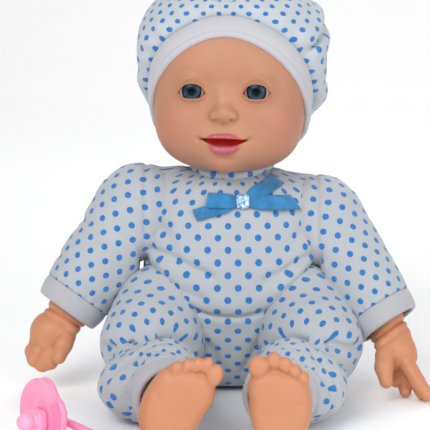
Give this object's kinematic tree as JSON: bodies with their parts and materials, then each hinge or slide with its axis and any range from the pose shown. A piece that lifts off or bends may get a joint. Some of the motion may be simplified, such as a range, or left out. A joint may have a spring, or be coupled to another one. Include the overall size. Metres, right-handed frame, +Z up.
{
  "type": "interactive baby doll",
  "caption": "Seated soft-bodied baby doll with vinyl head, hands and feet, dotted romper and hat, a sound box with a press-in tummy button, and a dummy that fits its mouth.",
  "frame": {"origin": "under the seat, on the ground, midway between the hips", "axes": "+X towards the doll's left, -Y the way the doll faces, +Z up"},
  "size_m": [0.2392, 0.2365, 0.24],
  "materials": {
    "dotted_cloth": "matte",
    "white_cloth": "matte",
    "stuffing": "matte",
    "hook_loop": "matte",
    "ribbon": "satin",
    "knot_ribbon": "satin",
    "vinyl_skin": "satin",
    "eye_plastic": "gloss",
    "mouth_red": "matte",
    "neck_plastic": "matte",
    "tie_nylon": "satin",
    "box_plastic": "matte",
    "door_plastic": "matte",
    "button_plastic": "matte",
    "switch_black": "matte",
    "speaker_black": "matte",
    "board": "satin",
    "cell_jacket": "satin",
    "wire_red": "satin",
    "steel": "satin",
    "pink_plastic": "gloss"
  },
  "bodies": {
    "torso": {"torso_stuffing": "stuffing", "romper_torso": "dotted_cloth", "collar": "dotted_cloth", "back_closure": "hook_loop", "ribbon_bow": "ribbon", "ribbon_knot": "knot_ribbon", "sound_box_front": "box_plastic", "sound_box_back": "box_plastic", "battery_door": "door_plastic", "battery_door_screw": "steel", "batteries": "cell_jacket", "battery_contacts": "steel", "circuit_board": "board", "speaker": "speaker_black", "tact_switch": "switch_black", "case_screws": "steel", "wire_harness": "wire_red", "button_spring": "steel"},
    "tummy_button": {"tummy_button": "button_plastic"},
    "power_switch": {"power_switch": "switch_black"},
    "neck": {"neck_joint": "neck_plastic", "neck_tie": "tie_nylon"},
    "head": {"neck_bearing": "neck_plastic", "head_shell": "vinyl_skin", "left_eye": "eye_plastic", "right_eye": "eye_plastic", "mouth_insert": "mouth_red", "mouth_switch": "switch_black", "hat_crown": "dotted_cloth", "hat_band": "white_cloth"},
    "pacifier": {"pacifier_shield": "pink_plastic", "pacifier_nipple": "pink_plastic", "pacifier_magnet": "steel", "pacifier_knob": "pink_plastic"},
    "pacifier_ring": {"pacifier_ring": "pink_plastic"},
    "left_arm": {"left_upper_arm": "stuffing", "left_sleeve": "dotted_cloth", "left_cuff": "white_cloth", "left_wrist_tie": "tie_nylon"},
    "left_hand": {"left_hand": "vinyl_skin"},
    "left_leg": {"left_upper_leg": "stuffing", "left_trouser_leg": "dotted_cloth", "left_leg_cuff": "white_cloth", "left_ankle_tie": "tie_nylon"},
    "left_foot": {"left_foot": "vinyl_skin"},
    "right_arm": {"right_upper_arm": "stuffing", "right_sleeve": "dotted_cloth", "right_cuff": "white_cloth", "right_wrist_tie": "tie_nylon"},
    "right_hand": {"right_hand": "vinyl_skin"},
    "right_leg": {"right_upper_leg": "stuffing", "right_trouser_leg": "dotted_cloth", "right_leg_cuff": "white_cloth", "right_ankle_tie": "tie_nylon"},
    "right_foot": {"right_foot": "vinyl_skin"}
  },
  "joints": [
    {"name": "head_nod", "type": "hinge", "parent": "torso", "child": "neck", "pos_m": [0, 0.004, 0.124], "axis": [1, 0, 0], "range_deg": [-12, 4.5]},
    {"name": "head_turn", "type": "hinge", "parent": "neck", "child": "head", "pos_m": [0, 0.004, 0.144], "axis": [0, 0, 1], "range_deg": [-54, 66]},
    {"name": "left_shoulder_swing", "type": "hinge", "parent": "torso", "child": "left_arm", "pos_m": [0.052, 0, 0.099], "axis": [1, 0, 0], "range_deg": [-150, 35]},
    {"name": "left_wrist_twist", "type": "hinge", "parent": "left_arm", "child": "left_hand", "pos_m": [0.09, -0.025, 0.045], "axis": [0.5382, -0.3541, -0.7648], "range_deg": [-40, 40]},
    {"name": "left_hip_swing", "type": "hinge", "parent": "torso", "child": "left_leg", "pos_m": [0.046, -0.038, 0.033], "axis": [1, 0, 0], "range_deg": [-18, 80]},
    {"name": "left_ankle_twist", "type": "hinge", "parent": "left_leg", "child": "left_foot", "pos_m": [0.025, -0.122, 0.024], "axis": [-0.2412, -0.9649, -0.1034], "range_deg": [-20, 20]},
    {"name": "right_shoulder_swing", "type": "hinge", "parent": "torso", "child": "right_arm", "pos_m": [-0.054, 0, 0.106], "axis": [1, 0, 0], "range_deg": [-150, 35]},
    {"name": "right_wrist_twist", "type": "hinge", "parent": "right_arm", "child": "right_hand", "pos_m": [-0.095, -0.015, 0.051], "axis": [-0.5839, -0.2136, -0.7832], "range_deg": [-40, 40]},
    {"name": "right_hip_swing", "type": "hinge", "parent": "torso", "child": "right_leg", "pos_m": [-0.046, -0.038, 0.033], "axis": [1, 0, 0], "range_deg": [-18, 80]},
    {"name": "right_ankle_twist", "type": "hinge", "parent": "right_leg", "child": "right_foot", "pos_m": [-0.034, -0.122, 0.0236], "axis": [0.1406, -0.9839, -0.1101], "range_deg": [-20, 20]},
    {"name": "tummy_button_press", "type": "slide", "parent": "torso", "child": "tummy_button", "axis": [0, 1, 0], "range_m": [0, 0.0025], "stiffness_N_per_m": 400, "springref_m": -0.0005},
    {"name": "power_switch_slide", "type": "slide", "parent": "torso", "child": "power_switch", "axis": [0, 0, 1], "range_m": [0, 0.005]},
    {"name": "pacifier_lift", "type": "slide", "parent": "torso", "child": "pacifier", "axis": [0, 0, 1], "range_m": [0, 0.12]},
    {"name": "pacifier_ring_swing", "type": "hinge", "parent": "pacifier", "child": "pacifier_ring", "pos_m": [-0.09161, -0.15318, 0.0205], "axis": [0.6018, -0.7986, 0], "range_deg": [-55, 116]}
  ]
}
